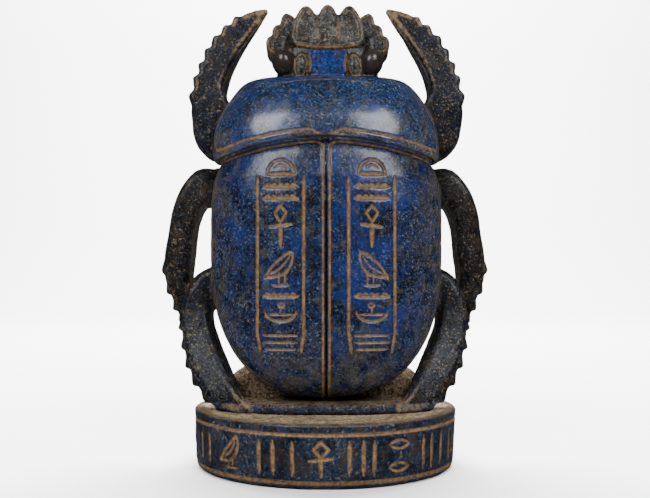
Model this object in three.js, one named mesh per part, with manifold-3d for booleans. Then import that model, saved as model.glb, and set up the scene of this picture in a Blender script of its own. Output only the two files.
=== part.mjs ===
// A scarab standing head up on an oval plinth. Millimetres, +Z up, its back shell faces -Y.
// The origin is the centre of the plinth's underside.
import * as THREE from "three";
import { mergeVertices } from "three/addons/utils/BufferGeometryUtils.js";
import Module from "manifold-3d";

// Plinth
const PLINTH_LENGTH = 67.4;
const PLINTH_DEPTH = 58.4;
const PLINTH_HEIGHT = 14.8;
const RIM_ROUND = 1.2;
const FOOT_ROUND = 1.2;
const GROOVE_WIDTH = 0.7;
const GROOVE_DEPTH = 0.7;
const UPPER_GROOVE_DROP = 2.3;
const LOWER_GROOVE_RISE = 1.7;
const BAND_MARGIN = 1.2;
const BAND_MARK_WIDTH = 1.1;
const BAND_MARK_DEPTH = 0.5;
const BAND_MARKS = 20;

// Scarab: its height stands over the plinth, and its curves are drawn in shares of that height
const FIGURE_HEIGHT = 105.7;
const DRAWN_UNITS = 105.7;
const SEAT_GAP = 0.3;
const CARVING_DEPTH = 0.55;
const LINE_WIDTH = 0.9;

const unit = FIGURE_HEIGHT / DRAWN_UNITS;
const TRUNK_SHIFT = 0.3;
const MIRROR = [-1, 1];

const wasm = await Module();
wasm.setup();

// Helpers

function solid(geometry) {
  const bare = geometry.index ? geometry.toNonIndexed() : geometry.clone();
  bare.deleteAttribute("normal");
  bare.deleteAttribute("uv");
  const merged = mergeVertices(bare, 1e-4);
  const position = merged.attributes.position;
  const faces = new Uint32Array(merged.index.array);
  const corner = [0, 1, 2].map(() => new THREE.Vector3());
  let volume = 0;
  for (let i = 0; i < faces.length; i += 3) {
    corner.forEach((c, k) => c.fromBufferAttribute(position, faces[i + k]));
    volume += corner[0].dot(corner[1].cross(corner[2]));
  }
  if (volume < 0)
    for (let i = 0; i < faces.length; i += 3)
      [faces[i + 1], faces[i + 2]] = [faces[i + 2], faces[i + 1]];
  const vertProperties = new Float32Array(position.array);
  return new wasm.Manifold(new wasm.Mesh({ numProp: 3, vertProperties, triVerts: faces }));
}

function geometryOf(body) {
  const mesh = body.getMesh();
  const geometry = new THREE.BufferGeometry();
  geometry.setAttribute("position", new THREE.BufferAttribute(mesh.vertProperties, 3));
  geometry.setIndex(new THREE.BufferAttribute(mesh.triVerts, 1));
  geometry.computeVertexNormals();
  return geometry;
}

// Folds away edges under the shortest length and turns the long side of needle triangles.
function tidied(body, shortest = 0.04, flattest = 0.012) {
  const mesh = body.getMesh();
  const points = range(mesh.numVert).map(
    (i) => new THREE.Vector3().fromArray(mesh.vertProperties, i * mesh.numProp),
  );
  let faces = [];
  for (let i = 0; i < mesh.triVerts.length; i += 3)
    faces.push(Array.from(mesh.triVerts.subarray(i, i + 3)));
  const span = (a, b) => points[a].distanceTo(points[b]);
  const lookup = () => {
    const around = points.map(() => new Set());
    const edges = new Map();
    faces.forEach((face, f) =>
      face.forEach((a, k) => {
        around[a].add(face[(k + 1) % 3]).add(face[(k + 2) % 3]);
        edges.set(a + "," + face[(k + 1) % 3], f);
      }),
    );
    return { around, edges };
  };
  for (let pass = 0; pass < 12; pass++) {
    const { around } = lookup();
    const gone = new Map();
    const touched = new Set();
    for (const face of faces)
      face.forEach((a, k) => {
        const b = face[(k + 1) % 3];
        if (touched.has(a) || touched.has(b) || span(a, b) > shortest) return;
        const shared = [...around[a]].filter((v) => around[b].has(v));
        const thin = around[a].size + around[b].size < 7;
        if (shared.length !== 2 || thin || shared.some((v) => around[v].size < 4)) return;
        gone.set(b, a);
        for (const v of [a, b, ...around[a], ...around[b]]) touched.add(v);
      });
    faces = faces.map((face) => face.map((v) => gone.get(v) ?? v));
    faces = faces.filter(([a, b, c]) => a !== b && b !== c && a !== c);
    const { around: near, edges } = lookup();
    const used = new Set();
    let turned = 0;
    faces.forEach((face, f) => {
      if (face.some((p) => used.has(p))) return;
      const sides = face.map((a, k) => span(a, face[(k + 1) % 3]));
      const k = sides.indexOf(Math.max(...sides));
      const [u, v, w] = [face[k], face[(k + 1) % 3], face[(k + 2) % 3]];
      const edge = points[v].clone().sub(points[u]);
      const height = edge.clone().cross(points[w].clone().sub(points[u])).length() / edge.length();
      if (height > flattest) return;
      const g = edges.get(v + "," + u);
      const x = faces[g].find((p) => p !== u && p !== v);
      if (near[w].has(x) || used.has(x)) return;
      faces[f] = [u, x, w];
      faces[g] = [x, v, w];
      for (const p of [u, v, w, x]) used.add(p);
      turned += 1;
    });
    if (!gone.size && !turned) break;
  }
  const geometry = new THREE.BufferGeometry().setFromPoints(points);
  geometry.setIndex(faces.flat());
  return geometryOf(solid(geometry));
}

const join = (parts) => parts.reduce((whole, part) => whole.add(part));
const range = (count) => Array.from({ length: count }, (_, i) => i);
const mix = THREE.MathUtils.lerp;

// Smooth curve through evenly counted stations, read at t from 0 to 1.
function through(values) {
  const curve = new THREE.SplineCurve(values.map((v, i) => new THREE.Vector2(i, v)));
  return (t) => curve.getPoint(THREE.MathUtils.clamp(t, 0, 1)).y;
}

// Closed skin over a stack of rings, each end closed by a fan.
function skin(rings) {
  const count = rings[0].length;
  const points = rings.flat();
  const [first, last] = [points.length, points.length + 1];
  for (const ring of [rings[0], rings.at(-1)])
    points.push(ring.reduce((sum, p) => sum.add(p), new THREE.Vector3()).divideScalar(count));
  const faces = [];
  const top = (rings.length - 1) * count;
  for (const i of range(count)) {
    const j = (i + 1) % count;
    faces.push(first, j, i, last, top + i, top + j);
    for (const r of range(rings.length - 1)) {
      const [a, b] = [r * count + i, r * count + j];
      faces.push(a, b, b + count, a, b + count, a + count);
    }
  }
  const geometry = new THREE.BufferGeometry().setFromPoints(points);
  geometry.setIndex(faces);
  return geometry;
}

// Ring at one height: front and back halves with their own depth and squareness.
function shellRing({ z, half, rim, front, back, square = 2.4, count = 40 }) {
  return range(count).map((i) => {
    const angle = (2 * Math.PI * i) / count;
    const [c, s] = [Math.cos(angle), Math.sin(angle)];
    const across = Math.sign(c) * Math.abs(c) ** (2 / square);
    const out = Math.sign(s) * Math.abs(s) ** (2 / square);
    return new THREE.Vector3(half * across, rim + (s < 0 ? front : back) * out, z);
  });
}

// Flat plate from an outline in X and Z, its front face at y = front.
function plate(outline, front, back, bevel = 0) {
  const shape = new THREE.Shape(outline);
  const depth = back - front - 2 * bevel;
  const geometry = new THREE.ExtrudeGeometry(shape, {
    depth,
    bevelEnabled: bevel > 0,
    bevelThickness: bevel,
    bevelSize: bevel,
    bevelOffset: -bevel,
    bevelSegments: 1,
    curveSegments: 5,
    steps: 1,
  });
  geometry.rotateX(Math.PI / 2);
  geometry.translate(0, back - bevel, 0);
  return solid(geometry);
}

// Outline of a stroke of one width along a few points.
function ribbon(points, width) {
  const path = points.map(([x, z]) => new THREE.Vector2(x, z));
  const sides = path.map((p, i) => {
    const before = path[Math.max(i - 1, 0)];
    const after = path[Math.min(i + 1, path.length - 1)];
    const along = after.clone().sub(before).setLength(width / 2);
    return [new THREE.Vector2(p.x + along.y, p.y - along.x), new THREE.Vector2(p.x - along.y, p.y + along.x)];
  });
  return [...sides.map(([right]) => right), ...sides.toReversed().map(([, left]) => left)];
}

// Wing cases and belly

const BODY = {
  half: 30,
  waist: 40,
  drop: 37.3,
  square: 2.4,
  bulge: 16,
  belly: 10,
  rim: -2,
  tipForward: 4.5,
};
// Above the waist: height, half width, bulge, belly
const SHOULDER = [
  [46, 30.1, 16, 10.4],
  [52, 30.0, 16, 10.6],
  [58, 29.2, 15.6, 10.6],
  [63, 27.2, 14.6, 10.4],
  [68, 23.5, 13, 9.5],
];

function bodyRings(inset, count, lower = 8) {
  const rings = [];
  for (const k of range(lower)) {
    const angle = mix(0.12, Math.PI / 2, k / (lower - 1));
    const wide = Math.sin(angle) ** (2 / BODY.square);
    const low = Math.cos(angle) ** (2 / BODY.square);
    rings.push({
      z: BODY.waist - (BODY.drop - inset) * low,
      half: (BODY.half - inset) * wide,
      rim: BODY.rim - BODY.tipForward * low ** 2,
      front: (BODY.bulge - inset) * wide,
      back: (BODY.belly - inset) * wide,
      count,
    });
  }
  for (const [z, half, bulge, belly] of SHOULDER)
    rings.push({
      z,
      half: half - inset,
      rim: BODY.rim,
      front: bulge - inset,
      back: belly - inset,
      count,
    });
  return rings.map(shellRing);
}

// Neck shield, cut below along an arch

const SHIELD = {
  heights: [57, 63, 66.5, 72, 77, 80.8, 83.5, 85],
  halves: [28.2, 29.2, 29.6, 28.8, 26.5, 24, 21.2, 17.6],
  rims: [-2, -2, -2, -2, -2, -2.2, -2.6, -3],
  fronts: [16.4, 16.6, 16.6, 15.8, 13.6, 11, 8, 4.6],
  backs: [10, 11, 11.4, 11.4, 11, 10, 8.5, 6.5],
};
const ARCH = { crown: 67.5, drop: 4.9, cornerHalf: 28.7 };

function shieldRings(inset, count, rings = 9) {
  const curves = Object.fromEntries(Object.entries(SHIELD).map(([k, v]) => [k, through(v)]));
  return range(rings).map((k) => {
    const t = k / (rings - 1);
    return shellRing({
      z: curves.heights(t) - inset * t,
      half: curves.halves(t) - inset,
      rim: curves.rims(t),
      front: curves.fronts(t) - inset,
      back: curves.backs(t) - inset,
      count,
    });
  });
}

// Height of the arch at x, drawn as one smooth curve.
function archHeight(x) {
  const share = Math.abs(x) / ARCH.cornerHalf;
  return ARCH.crown - ARCH.drop * share ** 1.75;
}

function belowArch(raise = 0) {
  const reach = ARCH.cornerHalf + 4;
  const edge = range(11).map((i) => {
    const x = mix(-reach, reach, i / 10);
    return new THREE.Vector2(x, archHeight(x) + raise);
  });
  const corners = [reach, -reach].map((x) => new THREE.Vector2(x, BODY.waist));
  return plate([...edge, ...corners], -30, 30);
}

// Legs: each station holds outer edge, inner edge, front and back, from the body to the tip.
// Each pair stands a little off the middle, as its shift says.

const FRONT_LEG = {
  stations: [
    [29.6, 64, 25, 67, 1.5, 8],
    [34.7, 68.4, 24, 71, 0, 11],
    [36.2, 76, 24.5, 76, -0.5, 12],
    [35.6, 83.7, 27.4, 81.3, -0.5, 11],
    [33.7, 89.9, 26.2, 87.2, 0, 9.5],
    [30.7, 95.9, 23.4, 93, 0.5, 8],
    [26.2, 101, 20.3, 98.2, 1, 6.5],
    [21.4, 104.1, 17.8, 102, 1.2, 5],
    [16.6, 105.4, 16, 104.6, 1.5, 3.8],
  ],
  teeth: 7,
  from: 0.36,
  to: 0.98,
  reach: 0.9,
  shift: 0.4,
};
const MIDDLE_LEG = {
  stations: [
    [30, 62, 26, 56, 1.5, 10],
    [34.8, 60.9, 27.5, 53.8, 0, 12],
    [38.4, 56.4, 31.8, 53.2, -1, 13],
    [40.6, 50.3, 34.4, 48.6, -1, 13],
    [42.1, 41, 35.6, 41.7, 0, 13],
    [42.8, 33.6, 36.3, 34.6, 1, 13],
    [41.2, 27.8, 36, 29, 3, 12.4],
    [39.4, 23, 35.2, 24, 4.2, 11],
    [37.4, 19.4, 35, 20.6, 5.2, 9],
  ],
  teeth: 4,
  from: 0.46,
  to: 0.98,
  reach: 0.9,
  shift: -0.1,
};
const HIND_LEG = {
  stations: [
    [29.8, 36, 25, 27, -1, 7],
    [34.4, 33, 27, 25.4, -2, 8],
    [36.9, 26.8, 30, 23.4, -3, 8],
    [36.8, 20.6, 29.7, 19.6, -4.4, 6.4],
    [35.6, 14.2, 27.4, 14.6, -6.4, 3.6],
    [33, 7.8, 24.6, 10.2, -8.8, 0],
    [28.7, 2.4, 22, 6, -11.2, -3.6],
    [22.6, -0.2, 20, 3.4, -13.2, -7.6],
    [18.4, -0.5, 18.2, 1.2, -14.8, -11.4],
  ],
  teeth: 7,
  from: 0.3,
  to: 0.95,
  reach: 1,
  shift: -0.2,
};

// One leg with saw teeth on its outer edge, their steps facing the tip.
function leg({ stations, teeth, from, to, reach, shift }, side, count = 8) {
  const [outX, outZ, inX, inZ, front, back] = range(6).map((i) =>
    through(stations.map((s) => s[i])),
  );
  const places = [
    ...range(5).map((i) => [(from * i) / 5, 0]),
    ...range(teeth).flatMap((i) => {
      const at = (share) => mix(from, to, (i + share) / teeth);
      return [
        [at(0), 0],
        [at(0.82), 1],
      ];
    }),
    [to, 0],
    [1, 0],
  ];
  const rings = places.map(([t, tooth]) => {
    const outer = new THREE.Vector2(outX(t), outZ(t));
    const inner = new THREE.Vector2(inX(t), inZ(t));
    const wide = outer.clone().sub(inner);
    outer.addScaledVector(wide.clone().normalize(), reach * tooth);
    const middle = outer.clone().add(inner).multiplyScalar(0.5);
    const half = outer.clone().sub(inner).multiplyScalar(0.5);
    return range(count).map((i) => {
      const angle = (2 * Math.PI * (i + 0.5)) / count;
      const [c, s] = [Math.cos(angle), Math.sin(angle)];
      const across = Math.sign(c) * Math.min(1, 1.3 * Math.abs(c));
      const deep = Math.sign(s) * Math.min(1, 1.18 * Math.abs(s));
      const y = (front(t) + back(t)) / 2 + ((back(t) - front(t)) / 2) * deep;
      return new THREE.Vector3(
        shift + side * (middle.x + half.x * across),
        y,
        middle.y + half.y * across,
      );
    });
  });
  return solid(skin(rings));
}

// Head

const HEAD = { shift: 0.7, tilt: 0.24, halfWidth: 13.8, front: -5.4, back: 7, foot: 79, top: 101 };
const EYE = { across: 11.5, height: 90.1, halfWidth: 2.8, halfHeight: 3.4, front: -3.6, deep: 3.6 };

function headOutline(points) {
  const right = points.map(([x, z]) => new THREE.Vector2(x + HEAD.shift, z));
  const left = points
    .toReversed()
    .filter(([x]) => x > 0)
    .map(([x, z]) => new THREE.Vector2(-x + HEAD.shift, z));
  return [...right, ...left];
}

// Leans back about the lower edge of the toothed shield.
function leaning(body) {
  const foot = new THREE.Matrix4().makeTranslation(0, 0, 93);
  const turn = new THREE.Matrix4().makeRotationX(-HEAD.tilt);
  const lean = foot.clone().multiply(turn).multiply(foot.clone().invert());
  return solid(geometryOf(body).applyMatrix4(lean));
}

function head() {
  const core = range(5).map((k) => {
    const t = k / 4;
    const close = Math.sqrt(1 - t ** 3 * 0.75);
    return shellRing({
      z: mix(HEAD.foot, HEAD.top, t),
      half: HEAD.halfWidth * close,
      rim: 0.6,
      front: (0.6 - HEAD.front) * close,
      back: (HEAD.back - 0.6) * close,
      square: 3,
      count: 16,
    }).map((p) => p.add(new THREE.Vector3(HEAD.shift, 0, 0)));
  });
  // Tooth tips and the notches between them, from the middle outwards, then down the side
  const shieldMiddle = [
    [0, 105.1],
    [0.9, 104.7],
    [2.6, 102.3],
    [4.4, 104.4],
    [5.5, 104.8],
    [6.7, 104],
    [8.2, 101.4],
    [9.3, 99],
    [9.3, 95.2],
    [5, 93.8],
    [0, 93.3],
  ];
  const shieldSides = [
    [0, 100],
    [7.6, 101.5],
    [10.2, 103.8],
    [11.9, 103.4],
    [12.3, 100.6],
    [14.1, 100.3],
    [14.5, 97.6],
    [15.6, 97],
    [16.3, 95],
    [15.9, 92.8],
    [14.4, 90.6],
    [0, 90],
  ];
  const parts = [
    solid(skin(core)),
    leaning(plate(headOutline(shieldMiddle), -4.8, 1.5, 0.7)),
    leaning(plate(headOutline(shieldSides), -2.6, 3.6, 0.7)),
  ];
  const frontPlate = [
    [0, 91.8],
    [4.4, 91.8],
    [4.8, 91.2],
    [4.8, 84],
    [0, 84],
  ];
  parts.push(plate(headOutline(frontPlate), -7, 0, 0.5));
  for (const side of MIRROR) {
    const cheek = range(9).map((i) => {
      const angle = (2 * Math.PI * i) / 9;
      const slim = 1 - 0.35 * Math.sin(angle);
      return new THREE.Vector2(
        HEAD.shift + side * 7.1 + 2 * slim * Math.cos(angle),
        87.6 + 3.3 * Math.sin(angle),
      );
    });
    parts.push(plate(cheek, -7, 0, 0.5));
    const eye = new THREE.SphereGeometry(1, 10, 7);
    eye.scale(EYE.halfWidth, EYE.deep, EYE.halfHeight);
    eye.translate(HEAD.shift + side * EYE.across, EYE.front, EYE.height);
    parts.push(solid(eye));
  }
  return join(parts);
}

// Mound and step that carry the scarab

const STEP = { half: 26, front: -16.9, back: 20.5, height: 1.7, square: 2.6 };
const MOUND = { half: 27, front: -4, back: 19, height: 9.4, square: 2.8 };

function oval({ half, front, back, square }, z, share, count) {
  const middle = (front + back) / 2;
  return shellRing({
    z,
    half: half * share,
    rim: middle,
    front: (middle - front) * share,
    back: (back - middle) * share,
    square,
    count,
  });
}

function seat() {
  const step = [
    [0, 1],
    [STEP.height, 1 - 0.3 / STEP.half],
  ].map(([z, share]) => oval(STEP, z, share, 28));
  const mound = [
    [0, 1],
    [0.62, 0.96],
    [0.9, 0.88],
    [1, 0.7],
  ].map(([rise, share]) => oval(MOUND, rise * MOUND.height, share, 24));
  return join([solid(skin(step)), solid(skin(mound))]);
}

// Carved lines and strokes of the wing cases

const COLUMN = { across: 11.1, half: 5.6, markHalf: 4.3, foot: 15.1, top: 57.3, drawIn: 0.8 };
const BORDER = { margin: 1.15, width: 1, from: 3.2, to: 61.3 };

// Strokes of one column, each a few points: share across the column, height.
function columnStrokes() {
  const bars = [58.1, 55.4, 52.4, 28.8, 18.9, 17.1, 15.4].map((z) => [[-0.9, z], [0.9, z]]);
  const arch = range(4).map((i) => {
    const angle = (Math.PI * i) / 3;
    return [-0.8 * Math.cos(angle), 59.3 + 2.2 * Math.sin(angle)];
  });
  const bowl = range(4).map((i) => [mix(-0.9, 0.9, i / 3), 25.6 - 3.1 * Math.sin((Math.PI * i) / 3)]);
  const upright = [[[0.1, 40.7], [0, 46.1]], [[-0.75, 44.7], [0.75, 43.3]]];
  const fan = range(3).map((i) => [
    [mix(-0.75, 0.25, i / 2), 31.3],
    [mix(-0.25, 0.75, i / 2), mix(35.4, 38.8, i / 2)],
  ]);
  return [...bars, arch, bowl, ...upright, ...fan];
}

function carvings() {
  const reach = 26;
  const line = (points, width) => plate(ribbon(points, width), -reach, BODY.rim - 1);
  const cuts = [line([[0.02, 1.9], [0, 68.5]], 1.6)];
  for (const side of MIRROR) {
    for (const edge of [-1, 1]) {
      const x = side * (COLUMN.across + edge * COLUMN.half);
      const foot = x - (edge > 0 ? side * COLUMN.drawIn : 0);
      cuts.push(line([[foot, COLUMN.foot], [x, COLUMN.foot + 4.6], [x, COLUMN.top]], LINE_WIDTH / unit));
    }
    for (const points of columnStrokes()) {
      const placed = points.map(([share, z]) => [side * (COLUMN.across + share * COLUMN.markHalf), z]);
      cuts.push(line(placed, 1.1));
    }
    // Sunken diamond over the upright stroke
    const centre = side * COLUMN.across;
    const diamond = [[centre, 46.4], [centre + 2, 48.6], [centre, 50.7], [centre - 2, 48.6]];
    cuts.push(plate(diamond.map(([x, z]) => new THREE.Vector2(x, z)), -reach, BODY.rim - 1));
    // Border groove, one margin inside the outline
    const border = bodyRings(BORDER.margin, 4, 10)
      .map(([right]) => [side * right.x, right.z])
      .filter(([, z]) => z > BORDER.from && z < BORDER.to);
    cuts.push(line(border, BORDER.width));
  }
  return cuts;
}

// Border groove of the neck shield: along the arch and up the sides.
function shieldBorder() {
  const margin = 1.6;
  const [heights, halves] = [through(SHIELD.heights), through(SHIELD.halves)];
  const side = range(5).map((k) => {
    const t = mix(0.22, 0.9, k / 4);
    return [halves(t) - margin, heights(t)];
  });
  const corner = side[0][0];
  const foot = range(9).map((i) => {
    const x = mix(-corner, corner, i / 8);
    return [x, archHeight(x) + margin];
  });
  const left = side.toReversed().map(([x, z]) => [-x, z]);
  return plate(ribbon([...left, ...foot.slice(1, -1), ...side], 0.9), -26, BODY.rim - 1);
}

function makeScarab() {
  const depth = CARVING_DEPTH / unit;
  const body = solid(skin(bodyRings(0, 28)));
  const bodyCore = solid(skin(bodyRings(depth, 28)));
  const carvedBody = body.subtract(join(carvings()).subtract(bodyCore));
  const shield = solid(skin(shieldRings(0, 28)));
  const shieldCore = solid(skin(shieldRings(depth, 28)));
  const carvedShield = shield.subtract(shieldBorder().subtract(shieldCore)).subtract(belowArch());
  const trunk = geometryOf(carvedBody.add(carvedShield)).translate(TRUNK_SHIFT, 0, 0);
  const parts = [solid(trunk), head(), seat()];
  for (const side of MIRROR)
    for (const shape of [FRONT_LEG, MIDDLE_LEG, HIND_LEG]) parts.push(leg(shape, side));
  const under = new THREE.BoxGeometry(120, 120, 20).translate(0, 0, -10);
  const whole = join(parts).subtract(solid(under));
  return tidied(whole).scale(unit, unit, unit);
}

// Plinth: an oval drum with two grooves around an inscribed band

function makePlinth() {
  const upper = PLINTH_HEIGHT - UPPER_GROOVE_DROP;
  const profile = [
    [0, FOOT_ROUND],
    [FOOT_ROUND * 0.3, FOOT_ROUND * 0.3],
    [FOOT_ROUND, 0],
    [LOWER_GROOVE_RISE - GROOVE_WIDTH / 2, 0],
    [LOWER_GROOVE_RISE, GROOVE_DEPTH],
    [LOWER_GROOVE_RISE + GROOVE_WIDTH / 2, 0],
    [upper - GROOVE_WIDTH / 2, 0],
    [upper, GROOVE_DEPTH],
    [upper + GROOVE_WIDTH / 2, 0],
    [PLINTH_HEIGHT - RIM_ROUND, 0],
    [PLINTH_HEIGHT - RIM_ROUND * 0.3, RIM_ROUND * 0.3],
    [PLINTH_HEIGHT, RIM_ROUND],
  ];
  const drumRing = (z, inset, count) =>
    range(count).map((i) => {
      const angle = (2 * Math.PI * i) / count;
      return new THREE.Vector3(
        (PLINTH_LENGTH / 2 - inset) * Math.cos(angle),
        (PLINTH_DEPTH / 2 - inset) * Math.sin(angle),
        z,
      );
    });
  const count = 44;
  const drum = solid(skin(profile.map(([z, inset]) => drumRing(z, inset, count))));
  const core = solid(
    skin([-1, PLINTH_HEIGHT + 1].map((z) => drumRing(z, BAND_MARK_DEPTH, count))),
  );
  const foot = LOWER_GROOVE_RISE + BAND_MARGIN;
  const tall = upper - BAND_MARGIN - foot;
  const marks = range(BAND_MARKS).map((i) => {
    const angle = (2 * Math.PI * (i + 0.5)) / BAND_MARKS;
    const mark = new THREE.BoxGeometry(6, BAND_MARK_WIDTH, tall);
    mark.rotateX([0, 0.3, -0.3][i % 3]);
    mark.rotateZ(angle);
    mark.translate(
      (PLINTH_LENGTH / 2) * Math.cos(angle),
      (PLINTH_DEPTH / 2) * Math.sin(angle),
      foot + tall / 2,
    );
    return solid(mark);
  });
  return tidied(drum.subtract(join(marks).subtract(core)));
}

// Scene graph

const stone = new THREE.MeshStandardMaterial({ color: 0x1d2f66, roughness: 0.45, metalness: 0 });
const dusty = new THREE.MeshStandardMaterial({ color: 0x4a4a52, roughness: 0.6, metalness: 0 });

const plinth = new THREE.Mesh(makePlinth(), dusty);
plinth.name = "plinth";

const scarab = new THREE.Mesh(makeScarab(), stone);
scarab.name = "scarab";
scarab.position.z = PLINTH_HEIGHT + SEAT_GAP;

const group = new THREE.Group();
group.add(plinth, scarab);

export default group;
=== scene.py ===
"""A blue stone scarab that stands head up on its inscribed oval plinth."""

import math
from itertools import product

import bpy
import numpy as np
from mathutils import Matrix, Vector
from mathutils.kdtree import KDTree


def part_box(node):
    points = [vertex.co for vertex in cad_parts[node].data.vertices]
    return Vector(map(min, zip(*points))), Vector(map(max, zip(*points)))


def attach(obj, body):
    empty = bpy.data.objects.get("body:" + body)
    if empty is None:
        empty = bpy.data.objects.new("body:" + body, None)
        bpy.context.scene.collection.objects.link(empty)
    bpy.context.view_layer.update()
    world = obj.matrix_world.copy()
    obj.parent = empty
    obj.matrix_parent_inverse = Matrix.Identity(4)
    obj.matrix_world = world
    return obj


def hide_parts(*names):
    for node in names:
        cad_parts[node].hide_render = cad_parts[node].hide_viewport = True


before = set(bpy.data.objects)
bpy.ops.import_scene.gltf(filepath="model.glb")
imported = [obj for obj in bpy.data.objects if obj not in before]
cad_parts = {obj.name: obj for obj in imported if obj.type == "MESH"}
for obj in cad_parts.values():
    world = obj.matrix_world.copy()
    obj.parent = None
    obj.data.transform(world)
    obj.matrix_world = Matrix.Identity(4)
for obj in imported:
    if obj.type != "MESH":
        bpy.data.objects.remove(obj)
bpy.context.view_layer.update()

SCARAB_LOW, SCARAB_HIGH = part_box("scarab")
PLINTH_LOW, PLINTH_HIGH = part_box("plinth")

# The scarab is drawn in shares of its height over the plinth, about a millimetre each.
DRAWN_HEIGHT = 105.77
UNIT = (SCARAB_HIGH.z - SCARAB_LOW.z) / DRAWN_HEIGHT
MM = 0.001
SIDES = (-1, 1)
SEAT_GAP = (SCARAB_LOW.z - PLINTH_HIGH.z) / UNIT - 0.03

# ---- curves and blends


def through(values):
    """Smooth curve through evenly counted stations, read at t from 0 to 1."""
    v = np.asarray(values, float)

    def at(t):
        place = np.clip(np.asarray(t, float), 0, 1) * (len(v) - 1)
        i = np.minimum(place.astype(int), len(v) - 2)
        f = place - i
        before, a = v[np.maximum(i - 1, 0)], v[i]
        b, after = v[i + 1], v[np.minimum(i + 2, len(v) - 1)]
        s, e = (b - before) / 2, (after - a) / 2
        return (2 * a - 2 * b + s + e) * f**3 + (3 * b - 3 * a - 2 * s - e) * f**2 + s * f + a

    return at


def ease(low, high, value):
    t = np.clip((value - low) / (high - low), 0, 1)
    return t * t * (3 - 2 * t)


def soft_join(a, b, k):
    h = np.clip(0.5 + 0.5 * (b - a) / k, 0, 1)
    return b + (a - b) * h - k * h * (1 - h)


def soft_cut(a, b, k):
    return -soft_join(-a, -b, k)


def lattice_noise(points, size, seed):
    """Smooth seeded noise from -1 to 1 with features of one size."""
    table = np.random.RandomState(seed).rand(24, 24, 24) * 2 - 1
    q = points / size
    i = np.floor(q).astype(int)
    f = q - i
    f = f * f * (3 - 2 * f)
    total = np.zeros(len(points))
    for corner in product((0, 1), repeat=3):
        x, y, z = np.where(corner, f, 1 - f).T
        total += table[tuple((i + corner).T % len(table))] * (x * y) * z
    return total


def swollen(shares, reach, power):
    """Distance-like value of a body with rounded square cuts, from the shares of its radii."""
    r = np.maximum(sum(share**power for share in shares) ** (1 / power), 1e-3)
    return np.sqrt(sum(way**2 for way in reach) + 1e-6) * (1 - 1 / r)


def rounded(dx, dy, corner, over=0.0):
    """Distance to a box with rounded corners, from the distances to its sides."""
    outside = np.sqrt(np.maximum(dx, 0) ** 2 + np.maximum(dy, 0) ** 2 + over**2)
    return outside + np.minimum(np.maximum(dx, dy), 0) - corner


# ---- trunk: wing cases and neck shield

TRUNK_SHIFT = 0.3
WAIST, DROP, SQUARE = 40.0, 37.3, 2.4
RIM, TIP_FORWARD = -2.0, 4.5
SHOULDER_HEIGHTS = (40, 46, 52, 58, 63, 68)
SHOULDER_HALVES = (30, 30.1, 30.0, 29.2, 27.2, 23.5)
SHOULDER_BULGES = (16, 16, 16, 15.6, 14.6, 13)
SHOULDER_BELLIES = (10, 10.4, 10.6, 10.6, 10.4, 9.5)
SHIELD_HEIGHTS = through((57, 63, 66.5, 72, 77, 80.8, 83.5, 85))(np.linspace(0, 1, 60))
SHIELD_HALVES = through((28.2, 29.2, 29.6, 28.8, 26.5, 24, 21.2, 17.6))(np.linspace(0, 1, 60))
SHIELD_RIMS = through((-2, -2, -2, -2, -2, -2.2, -2.6, -3))(np.linspace(0, 1, 60))
SHIELD_BULGES = through((16.4, 16.6, 16.6, 15.8, 13.6, 11, 8, 4.6))(np.linspace(0, 1, 60))
SHIELD_BACKS = through((10, 11, 11.4, 11.4, 11, 10, 8.5, 6.5))(np.linspace(0, 1, 60))
ARCH_CROWN, ARCH_CORNER, ARCH_HALF = 67.5, 62.6, 28.7


def arch_height(x):
    return ARCH_CROWN - (ARCH_CROWN - ARCH_CORNER) * (np.abs(x) / ARCH_HALF) ** 1.75


def oval_body(x, y, half, rim, front, back, low=0.0, drop=0.0):
    """A body that bulges by different amounts before and behind its rim."""
    v = np.where(y < rim, (rim - y) / front, (y - rim) / back)
    return swollen((np.abs(x) / half, v, low), (x, y - rim, drop), SQUARE)


def wing_sizes(z):
    low = np.clip((WAIST - z) / DROP, 0, 1.5)
    half = np.interp(z, SHOULDER_HEIGHTS, SHOULDER_HALVES)
    bulge = np.interp(z, SHOULDER_HEIGHTS, SHOULDER_BULGES)
    belly = np.interp(z, SHOULDER_HEIGHTS, SHOULDER_BELLIES)
    return low, half, RIM - TIP_FORWARD * np.minimum(low, 1) ** 2, bulge, belly


def wings(x, y, z):
    low, half, rim, bulge, belly = wing_sizes(z)
    body = oval_body(x, y, half, rim, bulge, belly, low, np.maximum(WAIST - z, 0))
    return soft_cut(body, z - 68, 1.0)


def shield_sizes(z):
    return [
        np.interp(z, SHIELD_HEIGHTS, sizes)
        for sizes in (SHIELD_HALVES, SHIELD_RIMS, SHIELD_BULGES, SHIELD_BACKS)
    ]


def neck_shield(x, y, z):
    half, rim, bulge, back = shield_sizes(z)
    body = oval_body(x, y, half, rim, bulge, back)
    body = soft_cut(body, z - 85, 1.6)
    return soft_cut(body, arch_height(x) - z, 0.7)


def left_of(*shares):
    """What these shares of the radii leave for the last one."""
    left = 1
    for share in shares:
        left = left - share**SQUARE
    return np.maximum(left, 1e-4) ** (1 / SQUARE)


def wing_front(x, z):
    """Front surface of the wing cases at x and z."""
    low, half, rim, bulge, _ = wing_sizes(z)
    return rim - bulge * left_of(np.abs(x) / half, low)


def shield_front(x, z):
    half, rim, bulge, _ = shield_sizes(z)
    return rim - bulge * left_of(np.abs(x) / half)


# ---- legs

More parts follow.
